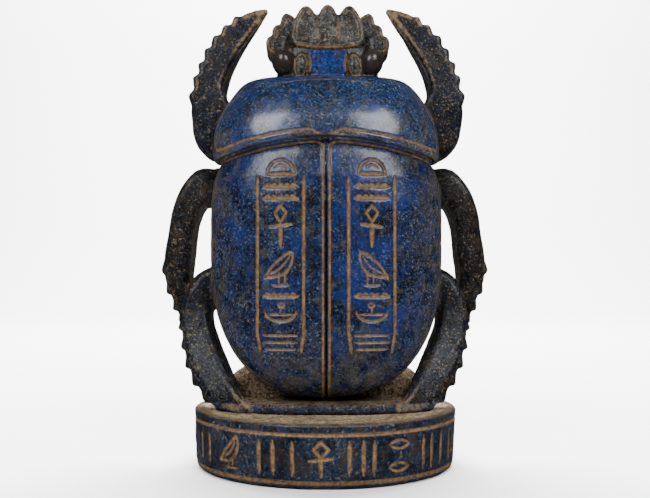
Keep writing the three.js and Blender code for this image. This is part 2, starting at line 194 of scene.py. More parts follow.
# Stations from the body to the tip: outer edge, inner edge, front, back. The teeth run from start
# to end along the leg, and with a ridge they keep to the back half of its thickness.
LEGS = {
    "front": dict(
        stations=(
            (29.6, 64, 25, 67, 1.5, 8),
            (34.7, 68.4, 24, 71, 0, 11),
            (36.2, 76, 25.1, 76, -0.5, 12),
            (35.6, 83.7, 28.0, 81.3, -0.5, 11),
            (33.8, 89.9, 26.8, 87.2, 0, 9.5),
            (30.9, 95.9, 24.0, 93, 0.5, 8),
            (26.2, 100.8, 20.8, 98.2, 1, 6.5),
            (21.4, 103.7, 18.0, 101.9, 1.2, 5),
            (16.6, 105.4, 16, 104.6, 1.5, 3.8),
        ),
        teeth=7, start=0.311, end=0.808, reach=1.45, shift=0.5, ridge=False, round=0.3, sunk=0.4,
    ),
    "middle": dict(
        stations=(
            (30, 62, 26, 56, 1.5, 10),
            (34.8, 60.9, 27.5, 53.8, 0, 12),
            (38.4, 56.4, 31.8, 53.2, -1, 13),
            (40.6, 50.3, 34.4, 48.6, -1, 13),
            (42.1, 41, 35.6, 41.7, 0, 13),
            (42.8, 33.6, 36.3, 34.6, 1, 13),
            (41.2, 27.8, 36, 29, 3, 12.4),
            (39.4, 23, 35.2, 24, 4.2, 11),
            (37.4, 19.4, 35, 20.6, 5.2, 9),
        ),
        teeth=4, start=0.535, end=0.96, reach=1.6, shift=-0.1, ridge=True, round=0.55, sunk=0.15,
    ),
    "hind": dict(
        stations=(
            (29.8, 36, 25, 27, -1, 7),
            (34.4, 33, 27, 25.4, -2, 8),
            (36.9, 26.8, 30, 23.4, -3, 8),
            (36.8, 20.6, 29.7, 19.6, -4.4, 6.4),
            (35.6, 14.2, 27.4, 14.6, -6.4, 3.6),
            (33, 7.8, 24.6, 10.2, -8.8, 0),
            (28.7, 2.4, 22, 6, -11.2, -3.6),
            (22.6, -0.2, 20, 3.4, -13.2, -7.6),
            (18.4, -0.5, 18.2, 1.2, -14.8, -11.4),
        ),
        teeth=7, start=0.3, end=0.93, reach=1.7, shift=-0.2, ridge=True, round=0.5, sunk=0.2,
    ),
}
LEG_SAMPLES = 160


def leg_path(leg):
    t = np.linspace(0, 1, LEG_SAMPLES)
    columns = np.array(leg["stations"], float).T
    out_x, out_z, in_x, in_z, front, back = (through(c)(t) for c in columns)
    outer, inner = np.stack([out_x, out_z], 1), np.stack([in_x, in_z], 1)
    count = (t - leg["start"]) / (leg["end"] - leg["start"]) * leg["teeth"]
    share = count - np.floor(count)
    # Each tooth rises towards the tip of the leg and ends in a ledge
    tooth = np.minimum(share / 0.7, 1) ** 0.9 * (1 - ease(0.8, 1.0, share)) - leg["sunk"]
    tooth = np.where((count > 0) & (count < leg["teeth"]), tooth, 0)
    tooth = np.convolve(np.pad(tooth, 2, "edge"), np.array((1, 2, 3, 2, 1)) / 9, "valid")
    return dict(
        t=t, middle=(outer + inner) / 2, half=(outer - inner) / 2, tooth=tooth * leg["reach"],
        y=(front + back) / 2, deep=(back - front) / 2,
    )


PATHS = {name: leg_path(leg) for name, leg in LEGS.items()}


def limb(x, y, z, name, side):
    """Distance to one leg: a rounded plate along its curve, saw teeth on the outer edge."""
    leg, path = LEGS[name], PATHS[name]
    q = np.stack([side * (x - leg["shift"]), z], 1)
    middle, half = path["middle"], path["half"]
    nearest = np.zeros(len(q), int)
    best = np.full(len(q), 1e9)
    for k in range(LEG_SAMPLES):
        d = ((q - middle[k]) ** 2).sum(1)
        closer = d < best
        nearest[closer] = k
        best[closer] = d[closer]
    way = np.gradient(middle, axis=0)[nearest]
    place = nearest + ((q - middle[nearest]) * way).sum(1) / (way**2).sum(1)
    over = np.maximum(np.maximum(-place, place - (LEG_SAMPLES - 1)), 0)
    over = over * np.sqrt((way**2).sum(1))
    place = np.clip(place, 0, LEG_SAMPLES - 1)
    read = lambda values: np.interp(place, np.arange(LEG_SAMPLES), values)
    (mx, mz), (hx, hz) = ([read(column) for column in line.T] for line in (middle, half))
    wide = np.sqrt(hx**2 + hz**2)
    across = ((q[:, 0] - mx) * hx + (q[:, 1] - mz) * hz) / wide
    deep, lean = read(path["deep"]), y - read(path["y"])
    behind = ease(-0.75, -0.25, lean / deep) if leg["ridge"] else 1.0
    outer = wide + read(path["tooth"]) * behind
    reach = np.where(across > 0, outer, wide)
    corner = leg["round"] * np.minimum(wide, deep)
    return rounded(np.abs(across) - reach + corner, np.abs(lean) - deep + corner, corner, over)


# ---- head

HEAD_SHIFT, HEAD_TILT, HEAD_FOOT, LEAN_HEIGHT = 0.7, 0.24, 79.0, 93.0
TOOTHED_PLATE = (
    (0, 104.9), (1.4, 104.2), (2.8, 101.6), (4.4, 103.9), (5.9, 104.5), (7.3, 103.6), (8.6, 101.0),
    (9.5, 98.6), (9.7, 94.8), (8.9, 92.8), (5, 92.1), (0, 91.8),
)
SIDE_PLATES = (
    (0, 100), (7.6, 101.3), (9.4, 103.0), (11.2, 103.9), (12.4, 102.7), (12.7, 100.1), (13.8, 100.2),
    (14.8, 99.0), (14.8, 96.8), (15.8, 96.6), (16.5, 95.2), (16.3, 93.0), (15.1, 91.2), (12, 90.3),
    (0, 90),
)
FACE_PLATE = ((0, 92), (4.9, 92.0), (5.2, 91.2), (4.9, 84), (0, 84))


def closed_outline(points, rounds=2):
    """Mirrored outline with its corners rounded by cutting them twice."""
    right = np.array(points, float)
    left = right[::-1] * (-1, 1)
    loop = np.concatenate([right, left[left[:, 0] < -1e-6]])
    for _ in range(rounds):
        after = np.roll(loop, -1, 0)
        loop = np.stack([loop * 0.75 + after * 0.25, loop * 0.25 + after * 0.75], 1).reshape(-1, 2)
    return loop


def outline_distance(x, z, loop):
    """Signed distance in the plane, negative inside."""
    best = np.full(len(x), 1e9)
    inside = np.zeros(len(x), bool)
    for a, b in zip(loop, np.roll(loop, -1, 0)):
        e = b - a
        wx, wz = x - a[0], z - a[1]
        h = np.clip((wx * e[0] + wz * e[1]) / (e @ e), 0, 1)
        best = np.minimum(best, (wx - e[0] * h) ** 2 + (wz - e[1] * h) ** 2)
        crosses = (a[1] > z) != (b[1] > z)
        with np.errstate(divide="ignore", invalid="ignore"):
            edge = a[0] + (z - a[1]) * e[0] / (e[1] if abs(e[1]) > 1e-9 else 1e-9)
        inside ^= crosses & (x < edge)
    return np.where(inside, -1, 1) * np.sqrt(best)


def plate(x, y, z, loop, front, back, rounding, dish=0.0):
    """A flat plate with rounded edges, its front hollowed inside a raised rim."""
    flat = outline_distance(x, z, loop)
    depth = np.maximum(front + dish * ease(0.4, 1.6, -flat) - y, y - back)
    return rounded(flat + rounding, depth + rounding, rounding)


OUTLINES = {
    "teeth": closed_outline(TOOTHED_PLATE),
    "sides": closed_outline(SIDE_PLATES),
    "face": closed_outline(FACE_PLATE, 1),
}


def egg(x, y, z, centre, radii, turn=0.0):
    dx, dy, dz = x - centre[0], y - centre[1], z - centre[2]
    c, s = math.cos(turn), math.sin(turn)
    dx, dz = c * dx + s * dz, c * dz - s * dx
    r = np.sqrt((dx / radii[0]) ** 2 + (dy / radii[1]) ** 2 + (dz / radii[2]) ** 2) + 1e-6
    return np.sqrt(dx**2 + dy**2 + dz**2 + 1e-9) * (1 - 1 / r)


def eyes(x, y, z):
    return np.minimum(
        *[egg(x, y, z, (HEAD_SHIFT + s * 11.4, -4.2, 88.9), (3.1, 3.7, 3.7), -s * 0.35) for s in SIDES]
    )


def head(x, y, z):
    x = x - HEAD_SHIFT
    u = np.clip((z - HEAD_FOOT) / 22, 0, 1.2)
    close = np.sqrt(np.maximum(1 - 0.75 * u**3, 0.02))
    core = oval_body(x, y, 13.8 * close, 0.6, 6 * close, 6.4 * close)
    core = soft_cut(core, z - 100.5, 2)
    c, s = math.cos(HEAD_TILT), math.sin(HEAD_TILT)
    ly, lz = c * y - s * (z - LEAN_HEIGHT), s * y + c * (z - LEAN_HEIGHT) + LEAN_HEIGHT
    # Valleys run down the toothed plate from the notches between its teeth
    fluting = 0.9 * ease(96.5, 102.5, lz) * np.exp(-(((np.abs(x) - 2.8) / 0.8) ** 2))
    teeth = plate(x, ly - fluting, lz, OUTLINES["teeth"], -5.2, 1.5, 0.8, 0.55)
    sides = plate(x, ly, lz, OUTLINES["sides"], -2.8, 3.6, 1.0, 0.7)
    face = plate(x, y + 0.02 * x**2, z, OUTLINES["face"], -7.0, 0, 0.7)
    cheeks = [egg(x, y, z, (side * 7.0, -4.6, 87.6), (2.2, 2.5, 3.9), side * 0.12) for side in SIDES]
    for part, k in ((sides, 1.2), (teeth, 0.35), (face, 0.3), (cheeks[0], 0.3), (cheeks[1], 0.3)):
        core = soft_join(core, part, k)
    return core


# ---- seat: mound and step

STEP_PLACE, STEP_HALF, STEP_DEEP, STEP_HEIGHT = 1.8, 23, 18.7, 2.0
MOUND_PLACE, MOUND_HALF, MOUND_DEEP, MOUND_HEIGHT = 7.5, 27, 11.5, 11.4


def step(x, y, z):
    back = y - STEP_PLACE
    block = swollen((np.abs(x) / STEP_HALF, np.abs(back) / STEP_DEEP), (x, back), 3.4)
    return soft_cut(block, z - STEP_HEIGHT, 0.6)


def mound(x, y, z):
    back = y - MOUND_PLACE
    shares = (np.abs(x) / MOUND_HALF, np.abs(back) / MOUND_DEEP, np.maximum(z, 0) / MOUND_HEIGHT)
    return swollen(shares, (x, back, z), 3)


# ---- whole scarab

LEG_BOXES = {
    "front": ((13, -3, 60), (38.5, 14, 107.5)),
    "middle": ((24, -4, 17), (45.5, 15, 64)),
    "hind": ((16, -17, -2), (39.5, 10, 38)),
}
FAR = 6.0


def forms(p):
    """Every form's distance at the points, with the far ones left at a flat value."""
    x, y, z = p.T
    found = {}

    def near(name, mask, function, *rest):
        value = np.full(len(p), FAR)
        if mask.any():
            value[mask] = function(x[mask], y[mask], z[mask], *rest)
        found[name] = value

    found["wings"] = wings(x - TRUNK_SHIFT, y, z)
    near("shield", z > 56, lambda a, b, c: neck_shield(a - TRUNK_SHIFT, b, c))
    near("head", (z > 76) & (np.abs(x - HEAD_SHIFT) < 20) & (y > -12) & (y < 14), head)
    near("eyes", (z > 82) & (z < 98) & (np.abs(x) < 19) & (y < 4), eyes)
    near("step", z < 14, step)
    near("mound", z < 14, mound)
    for name, (a, b) in LEG_BOXES.items():
        for side in SIDES:
            m = side * x
            box = (m > a[0] - 6) & (m < b[0] + 4) & (y > a[1] - 4) & (y < b[1] + 4)
            box &= (z > a[2] - 4) & (z < b[2] + 4)
            near(name + " leg" + "LR"[side > 0], box, limb, name, side)
    return found


def scarab_field(p, parts=False):
    f = forms(p)
    whole = np.minimum(f["wings"], f["shield"])
    for side in "LR":
        for name, k in (("front leg", 1.0), ("middle leg", 1.2), ("hind leg", 0.8)):
            whole = soft_join(whole, f[name + side], k)
    whole = soft_join(whole, f["head"], 0.35)
    whole = np.minimum(whole, f["eyes"])
    whole = soft_join(whole, f["mound"], 0.9)
    whole = soft_join(whole, f["step"], 0.5)
    whole = whole + 0.10 * lattice_noise(p, 5.0, 3) + 0.05 * lattice_noise(p + 40, 2.0, 4)
    whole = np.maximum(whole, -p[:, 2])
    return (whole, f) if parts else whole


# ---- mesh from the forms


def net_of(low, high, pitch):
    """Closed net of triangles round the scarab, from the field on an even lattice."""
    axes = [np.arange(a, b + pitch, pitch) for a, b in zip(low, high)]
    shape = [len(a) for a in axes]
    points = np.stack(np.meshgrid(*axes, indexing="ij"), -1).reshape(-1, 3)
    values = np.concatenate([scarab_field(part) for part in np.array_split(points, 12)]).reshape(shape)
    inside = values < 0
    total = np.zeros([n - 1 for n in shape] + [3])
    count = np.zeros([n - 1 for n in shape])
    origin = np.array([a[0] for a in axes])
    cells = np.stack(np.meshgrid(*[np.arange(n - 1) for n in shape], indexing="ij"), -1)
    # Each cell's point is the mean of the crossings on its twelve edges
    for axis, *corner in product(range(3), (0, 1), (0, 1)):
        start, end = (np.insert(corner, axis, k) for k in (0, 1))
        a, b = (values[tuple(slice(k, n - 1 + k) for k, n in zip(e, shape))] for e in (start, end))
        cut = (a < 0) != (b < 0)
        share = np.where(cut, a / np.where(cut, a - b, 1), 0)
        total += (start + share[..., None] * (end - start)) * cut[..., None]
        count += cut
    used = count > 0
    index = np.full(used.shape, -1)
    index[used] = np.arange(used.sum())
    verts = origin + pitch * (cells[used] + total[used] / count[used][:, None])
    faces = []
    for axis in range(3):
        b, c = (axis + 1) % 3, (axis + 2) % 3
        trim = [slice(None)] * 3
        trim[b], trim[c] = slice(1, shape[b] - 1), slice(1, shape[c] - 1)
        cut = np.diff(inside.astype(np.int8), axis=axis)[tuple(trim)]
        at = np.argwhere(cut != 0)
        sign = cut[cut != 0]
        ring = []
        for step in ((0, 0), (1, 0), (1, 1), (0, 1)):
            q = at.copy()
            q[:, [b, c]] += step
            ring.append(index[tuple(q.T)])
        quad = np.stack(ring, 1)
        quad[sign > 0] = quad[sign > 0][:, ::-1]
        faces.append(quad)
    quads = np.concatenate(faces)
    return verts, np.concatenate([quads[:, [0, 1, 2]], quads[:, [0, 2, 3]]])


def slope(points, reach=0.04):
    """Direction in which the field grows, from four readings."""
    k = np.array([(1, -1, -1), (-1, -1, 1), (-1, 1, -1), (1, 1, 1)], float)
    return sum(way * scarab_field(points + way * reach)[:, None] for way in k) / (4 * reach)


def settle(points, rounds=2):
    """Points moved along the slope until they lie on the surface."""
    for _ in range(rounds):
        g = slope(points)
        steep = np.maximum((g**2).sum(1), 0.15)
        move = -scarab_field(points)[:, None] * g / steep[:, None]
        length = np.linalg.norm(move, axis=1)[:, None]
        points = points + move * np.minimum(1, 0.6 / np.maximum(length, 1e-9))
    return points


def edges_of(faces):
    pairs = np.sort(np.concatenate([faces[:, [0, 1]], faces[:, [1, 2]], faces[:, [2, 0]]]), 1)
    edges, back = np.unique(pairs, axis=0, return_inverse=True)
    return edges, back.reshape(3, -1).T


def gathered(index, values, count):
    """Rows of values summed for each index."""
    return np.stack([np.bincount(index, column, count) for column in values.T], 1)


def relaxed(verts, faces, share=0.5):
    """Each point drawn to the middle of its neighbours, along the surface only."""
    a, b = edges_of(faces)[0].T
    count = len(verts)
    total = gathered(a, verts[b], count) + gathered(b, verts[a], count)
    move = total / np.bincount(np.concatenate([a, b]), minlength=count)[:, None] - verts
    g = slope(verts)
    n = g / np.maximum(np.linalg.norm(g, axis=1), 1e-6)[:, None]
    return verts + share * (move - n * (move * n).sum(1)[:, None])


def refined(verts, faces, lines, rounds):
    """Long edges halved, round after round, until they suit the target length."""
    for _ in range(rounds):
        edges, slots = edges_of(faces)
        middle = (verts[edges[:, 0]] + verts[edges[:, 1]]) / 2
        length = np.linalg.norm(verts[edges[:, 0]] - verts[edges[:, 1]], axis=1)
        split = length > 1.35 * fineness(middle, lines)
        if not split.any():
            break
        fresh = np.full(len(edges), -1)
        fresh[split] = len(verts) + np.arange(split.sum())
        verts = np.concatenate([verts, settle(middle[split], 1)])
        m = fresh[slots]
        cuts = (m >= 0).sum(1)
        out = [faces[cuts == 0].T]
        for k in range(3):
            turned = np.roll(faces, -k, 1)
            t = np.roll(m, -k, 1)
            one = (cuts == 1) & (t[:, 0] >= 0)
            a, b, c = turned[one].T
            e = t[one, 0]
            out += [(a, e, c), (e, b, c)]
            two = (cuts == 2) & (t[:, 0] >= 0) & (t[:, 1] >= 0)
            a, b, c = turned[two].T
            e, g = t[two, 0], t[two, 1]
            first = np.linalg.norm(verts[a] - verts[g], axis=1)
            short = first < np.linalg.norm(verts[e] - verts[c], axis=1)
            out += [(e, b, g), (a, e, np.where(short, g, c)), (np.where(short, a, e), g, c)]
        three = cuts == 3
        a, b, c = faces[three].T
        d, e, g = m[three].T
        out += [(a, d, g), (d, b, e), (g, e, c), (d, e, g)]
        faces = np.concatenate([np.stack(corners, 1) for corners in out])
        verts = settle(relaxed(verts, faces, 0.4), 1)
    return settle(verts), faces


def normals_of(verts, faces):
    a, b, c = (verts[faces[:, k]] for k in range(3))
    cross = np.cross(b - a, c - a)
    total = sum(gathered(faces[:, k], cross, len(verts)) for k in range(3))
    return total / np.maximum(np.linalg.norm(total, axis=1), 1e-12)[:, None]


# ---- carved lines


def drawn(points, spacing=0.5):
    """A line of points with even short steps."""
    p = np.asarray(points, float)
    walk = np.concatenate([[0], np.cumsum(np.linalg.norm(np.diff(p, axis=0), axis=1))])
    s = np.linspace(0, walk[-1], max(2, int(walk[-1] / spacing) + 1))
    return np.stack([np.interp(s, walk, p[:, k]) for k in range(p.shape[1])], 1)


def bend(points, count=24):
    """A smooth line through the points."""
    t = np.linspace(0, 1, count)
    return np.stack([through(column)(t) for column in np.asarray(points, float).T], 1)


def arc(centre, radii, start, end, turn=0.0, count=18):
    a = np.radians(np.linspace(start, end, count))
    x, z = radii[0] * np.cos(a), radii[1] * np.sin(a)
    c, s = math.cos(turn), math.sin(turn)
    return [(centre[0] + c * u - s * v, centre[1] + s * u + c * v) for u, v in zip(x, z)]


COLUMN_ACROSS, COLUMN_HALF, MARK_HALF = 11.1, 5.65, 4.2
COLUMN_TOP, COLUMN_FOOT = 57.6, 15.2


def rope(z, half=MARK_HALF):
    """A level bar with short bumps on its upper edge, like twisted cord."""
    marks = [([(-half, z - 0.2), (half, z - 0.2)], 1.05, 0.42)]
    for x in np.linspace(-half + 1.1, half - 1.1, 5):
        marks.append((arc((x, z - 0.1), (0.7, 0.55), 10, 170, 0.0, 8), 0.7, 0.4))
    return marks


def column_marks():
    """Made-up marks in rows, each as (points, width, depth)."""
    h = MARK_HALF
    level = lambda z, half=h, tilt=0.0: [(-half, z - tilt), (half, z + tilt)]
    marks = [(arc((0, 58.2), (3.3, 3.6), 0, 180), 0.62, 0.4), (level(58.1, 3.4), 0.95, 0.45)]
    marks += [(arc((0, 58.9), (1.7, 1.5), 20, 160), 0.45, 0.2)]
    marks += rope(55.3) + rope(52.4)
    # A lozenge on a post with a leaning bar
    lozenge = [(0, 50.4), (1.45, 48.7), (0, 46.4), (-1.45, 48.7), (0, 50.4)]
    marks += [(lozenge, 0.62, 0.42), ([(0, 46.4), (0.05, 40.5)], 1.0, 0.42)]
    marks += [([(-2.7, 45.2), (2.7, 45.9)], 0.8, 0.42)]
    # A slanted leaf on two short posts over a bar
    leaf = [(-3.9, 32.9), (-1.5, 36.2), (2.0, 38.9), (3.0, 38.4), (2.4, 35.6), (0.4, 33.6), (-3.9, 32.9)]
    marks += [(bend(leaf), 0.6, 0.4), (bend([(-3.0, 33.6), (0.2, 35.4), (2.2, 38.0)]), 0.5, 0.3)]
    marks += [([(-0.4, 34.2), (-0.3, 31.2)], 0.5, 0.35), ([(1.0, 34.4), (1.2, 31.2)], 0.5, 0.35)]
    marks += [(level(31.0, 2.0), 0.6, 0.35)]
    marks += rope(28.6)
    # A shallow bowl with a knob on a stem
    marks += [(arc((0, 24.9), (3.9, 2.6), 185, 355), 0.7, 0.42), (level(24.0, 3.0), 0.5, 0.35)]
    marks += [([(0, 24.0), (0.2, 26.0)], 0.5, 0.35), (arc((0.2, 26.2), (0.7, 0.6), 0, 360), 0.5, 0.35)]
    marks += [(level(z, half), 0.55, 0.4) for z, half in ((18.9, h), (17.2, h), (15.5, h - 0.4))]
    return marks


def outline_half(z):
    """Half the width of the wing cases at z."""
    low, half, *_ = wing_sizes(z)
    return half * left_of(low)


def front_of(x, z):
    """Foremost point of the whole scarab at x and z."""
    ys = np.arange(-21, 6, 0.4)
    grid = np.stack([np.repeat(x, len(ys)), np.tile(ys, len(x)), np.repeat(z, len(ys))], 1)
    inside = scarab_field(grid).reshape(len(x), len(ys)) < 0
    first = np.where(inside.any(1), inside.argmax(1), len(ys) - 1)
    near, far = ys[np.maximum(first - 1, 0)], ys[first]
    for _ in range(7):
        middle = (near + far) / 2
        solid = scarab_field(np.stack([x, middle, z], 1)) < 0
        near, far = np.where(solid, near, middle), np.where(solid, middle, far)
    return (near + far) / 2


def trunk_lines():
    """Lines on the wing cases and the shield: points in space, width, depth, wash."""
    lines = []

    def on(front, points, width, depth, wash, shift=TRUNK_SHIFT):
        x, z = drawn(points).T
        y = front(x + shift, z) if front is front_of else front(x, z)
        lines.append((np.stack([x + shift, y, z], 1), width, depth, wash))

    for side in SIDES:
        z = np.linspace(3.0, 60.3, 70)
        edge = np.stack([side * (outline_half(z) - 0.95), z], 1)
        x = np.linspace(27.2, 2.6, 50)
        top = np.stack([side * x, arch_height(x) - 1.15], 1)
        corner = bend([edge[-1], (side * 28.0, 61.6), top[0]], 8)
        turn = bend([top[-1], (side * 1.3, 65.6), (side * 0.85, 64.0)], 8)
        down = [(side * 0.85, 64.0), (side * 0.8, 30), (side * 0.75, 8), (side * 0.7, 3.0)]
        on(wing_front, edge, 0.6, 0.4, 0.85)
        on(wing_front, np.concatenate([corner, top[1:], turn[1:]]), 0.6, 0.4, 1.0)
        on(wing_front, down, 0.5, 0.4, 1.0)
        for across in (-1, 1):
            at = side * COLUMN_ACROSS + across * COLUMN_HALF
            foot = at - across * 0.7
            frame_line = [(at, COLUMN_TOP), (at, 40), (at, COLUMN_FOOT + 4), (foot, COLUMN_FOOT - 0.6)]
            on(wing_front, frame_line, 0.75, 0.42, 1.0)
        for points, width, depth in column_marks():
            moved = [(side * COLUMN_ACROSS - side * px, pz) for px, pz in points]
            on(wing_front, moved, width, depth, 0.9)
        # Shield: one line along the lower edge and up the side, a rolled rim below it
        x = np.linspace(1.2, 25.4, 50)
        margin = 1.55 * ease(0.5, 4.5, x)
        low = np.stack([side * x, arch_height(x) + margin + 0.1], 1)
        z = np.linspace(66.6, 79.5, 30)
        half = np.interp(z, SHIELD_HEIGHTS, SHIELD_HALVES)
        up = np.stack([side * (half - 1.2), z], 1)
        corner = bend([low[-1], (side * 27.6, 65.0), up[0]], 10)
        on(shield_front, np.concatenate([low, corner[1:], up[1:]]), 0.6, 0.42, 1.0)
        # A ring inside each cheek
        ring = arc((side * 7.0, 87.8), (1.5, 3.0), 0, 360, side * 0.14, 30)
        on(front_of, ring, 0.45, 0.2, 0.9, HEAD_SHIFT)
        brow = bend([(side * 4.9, 91.2), (side * 4.3, 88.4), (side * 5.0, 84.6)], 12)
        on(front_of, brow, 0.5, 0.25, 0.3, HEAD_SHIFT)
        # The notches between the middle teeth run on as pale lines
        on(front_of, [(side * 2.8, 101.0), (side * 2.9, 95.5)], 0.9, 0.1, 0.4, HEAD_SHIFT)
    on(wing_front, [(0, 2.0), (0, 66.4)], 0.5, 0.8, -1.0)
    x = np.linspace(-8.2, 8.2, 40)
    on(front_of, np.stack([x, 92.9 + 0.014 * x**2], 1), 0.85, -0.3, 0.75, HEAD_SHIFT)
    on(front_of, [(-4.4, 84.0), (4.4, 84.0)], 0.5, 0.2, 0.8, HEAD_SHIFT)
    x = np.linspace(-11.0, 11.0, 40)
    on(shield_front, np.stack([x, 82.9 - 0.008 * x**2], 1), 0.45, 0.2, 0.5)
    return lines


def nearest_carving(points, lines):
    """Distance to the nearest carved line, that line's number and the way to its nearer end."""
    tracks = [drawn(line[0], 0.1) for line in lines]
    tree = KDTree(sum(len(track) for track in tracks))
    numbers, ends = [], []
    for number, track in enumerate(tracks):
        walk = np.arange(len(track)) * 0.1
        closed = np.linalg.norm(track[0] - track[-1]) < 0.2
        ends += [9.0] * len(track) if closed else np.minimum(walk, walk[::-1]).tolist()
        for p in track:
            tree.insert(p, len(numbers))
            numbers.append(number)
    tree.balance()
    found = [tree.find(p) for p in points.tolist()]
    which = [f[1] for f in found]
    return np.array([f[2] for f in found]), np.array(numbers)[which], np.array(ends)[which]


def cut_of(points, lines):
    """Depth, wash and slit of the carving at each point."""
    distance, number, end = nearest_carving(points, lines)
    width, depth, tint = (np.array([line[k] for line in lines])[number] for k in (1, 2, 3))
    width = width * (0.5 + 0.5 * ease(0.0, 1.3, end))
    push = depth * (1 - ease(0.10 * width, 0.62 * width, distance))
    wash = np.maximum(tint, 0) * (1 - ease(0.3 * width, 0.62 * width, distance))
    slit = np.maximum(-tint, 0) * (1 - ease(0.3 * width, 0.8 * width, distance))
    return push, wash, slit


def carve(verts, faces, lines, chosen):
    """Verts pushed in along the lines, with the wash and slit values they get."""
    wash, slit = np.zeros(len(verts)), np.zeros(len(verts))
    moved = verts.copy()
    at = np.flatnonzero(chosen)
    push, wash[at], slit[at] = cut_of(verts[at], lines)
    moved[at] -= normals_of(verts, faces)[at] * push[:, None]
    return moved, wash, slit


def label(mesh, values):
    """Values of the mesh's points, kept as attributes for the stone to read."""
    for name, value in values.items():
        mesh.attributes.new(name, "FLOAT", "POINT").data.foreach_set("value", value.astype(np.float32))


def mesh_of(name, verts, faces, values):
    mesh = bpy.data.meshes.new(name)
    mesh.from_pydata(verts.tolist(), [], faces.tolist())
    label(mesh, values)
    mesh.shade_smooth()
    return mesh


def placed(name, mesh):
    piece = bpy.data.objects.new(name, mesh)
    bpy.context.scene.collection.objects.link(piece)
    return piece


def fineness(p, lines):
    """Wanted length of the mesh edges at the points."""
    x, y, z = p.T
    size = np.full(len(p), 1.2)
    front = (y < 1) & (z > 1)
    size[front] = 0.9
    fine = (z > 77) | (np.abs(x) > 26) | ((np.abs(x) > 16) & (z < 34))
    size[fine & (y < 9)] = 0.65
    size[(z > 81) & (y < 3) & (np.abs(x) < 18)] = 0.46
    at = np.flatnonzero(front)
    distance, _, _ = nearest_carving(p[at], lines)
    size[at[distance < 1.0]] = 0.5
    size[at[distance < 0.52]] = 0.27
    return size


def head_masks(p, n):
    """Shares of the blue face plate, and of the paler grey toothed plate and cheeks; the toothed plate's
    paleness is painted light.
    """
    x, y, z = p.T
    x = x - HEAD_SHIFT
    front = ease(0.1, 0.5, -n[:, 1])
    c, s = math.cos(HEAD_TILT), math.sin(HEAD_TILT)
    lean = s * y + c * (z - LEAN_HEIGHT) + LEAN_HEIGHT
    half = 4.2 + 0.8 * ((z - 88) / 3.6) ** 2
    face = (1 - ease(-0.15, 0.25, np.abs(x) - half)) * ease(84.2, 84.7, z) * (1 - ease(91.5, 92.0, z))
    worn_and_lit = 1 - ease(-0.4, 0.3, outline_distance(x, lean, OUTLINES["teeth"]))
    # The toothed plate is pale at its foot and darker at its teeth: painted light from above
    worn_and_lit = worn_and_lit * ease(91.9, 92.4, lean) * (1 - 0.7 * ease(98.5, 102, lean)) * (y < 0)
    cheek = 1 - ease(0.75, 1.1, np.hypot((np.abs(x) - 7.1) / 2.9, (z - 87.8) / 4.2))
    return face * front * (y < -3), np.maximum(worn_and_lit, 0.95 * cheek * (y < -3)) * front


def make_scarab():
    lines = trunk_lines()
    verts, faces = net_of((-46, -21, -1.45), (46, 22.5, 108), 1.05)
    verts = settle(relaxed(settle(verts), faces))
    verts, faces = refined(verts, faces, lines, 4)
    _, found = scarab_field(verts, True)
    n = normals_of(verts, faces)
    # Occlusion of each point by the forms round it: the dark brown it gives hollows is painted shade, with
    # some brown patina
    shade_and_patina = sum(1 - np.clip(scarab_field(verts + n * h) / h, 0, 1) for h in (1.0, 2.5)) / 2
    # Convexity at two sizes; the tan it gives edges and ridges is partly wear, partly painted highlight
    edge = 1 - np.clip(-scarab_field(verts - n * 0.7) / 0.7, 0, 1)
    ridge = 1 - np.clip(-scarab_field(verts - n * 2.2) / 2.2, 0, 1)
    legs = np.min([found[name] for name in found if " leg" in name], axis=0)
    near = lambda value: 1 - ease(0.15, 0.6, value)
    trunk = near(np.minimum(found["wings"], found["shield"]))
    face, worn_and_lit = head_masks(verts, n)
    # The rolled rim of the shield gets the same paler grey
    over = verts[:, 2] - arch_height(np.minimum(np.abs(verts[:, 0] - TRUNK_SHIFT), 27.0))
    strip = near(found["shield"]) * (1 - ease(0.9, 1.5, over)) * ease(0.1, 0.5, -n[:, 1])
    worn_and_lit = np.maximum(worn_and_lit, 0.55 * strip)
    moved, wash, slit = carve(verts, faces, lines, (verts[:, 1] < 2) & (verts[:, 2] > 1))
    values = dict(
        wash=wash, slit=slit, shade_and_patina=shade_and_patina, edge=edge, ridge=ridge, trunk=trunk, leg=near(legs),
        neck=near(found["shield"]), head=near(found["head"]), eye=1 - ease(0.05, 0.3, found["eyes"]),
        seat=near(np.minimum(found["mound"], found["step"])), face=face, worn_and_lit=worn_and_lit,
        upright=ease(0.3, 0.8, -n[:, 1]) * (verts[:, 2] < 2.0), side=1 - ease(0.15, 0.6, -n[:, 1]),
        umber=near(np.minimum(found["middle legL"], found["middle legR"])),
        flank=np.maximum(
            ease(0.6, 1.0, np.abs(verts[:, 0]) / (outline_half(np.clip(verts[:, 2], 4, 60)) + 0.5)),
            1 - ease(6.0, 24.0, verts[:, 2]),
        ),
    )
    # The foot of the seat settles on the plinth
    moved[:, 2] -= SEAT_GAP * (1 - ease(0.0, 1.2, moved[:, 2]))
    moved = moved * UNIT + (0, 0, SCARAB_LOW.z)
    return placed("Scarab_figure", mesh_of("Scarab_figure", moved, faces, values))


# ---- node helpers


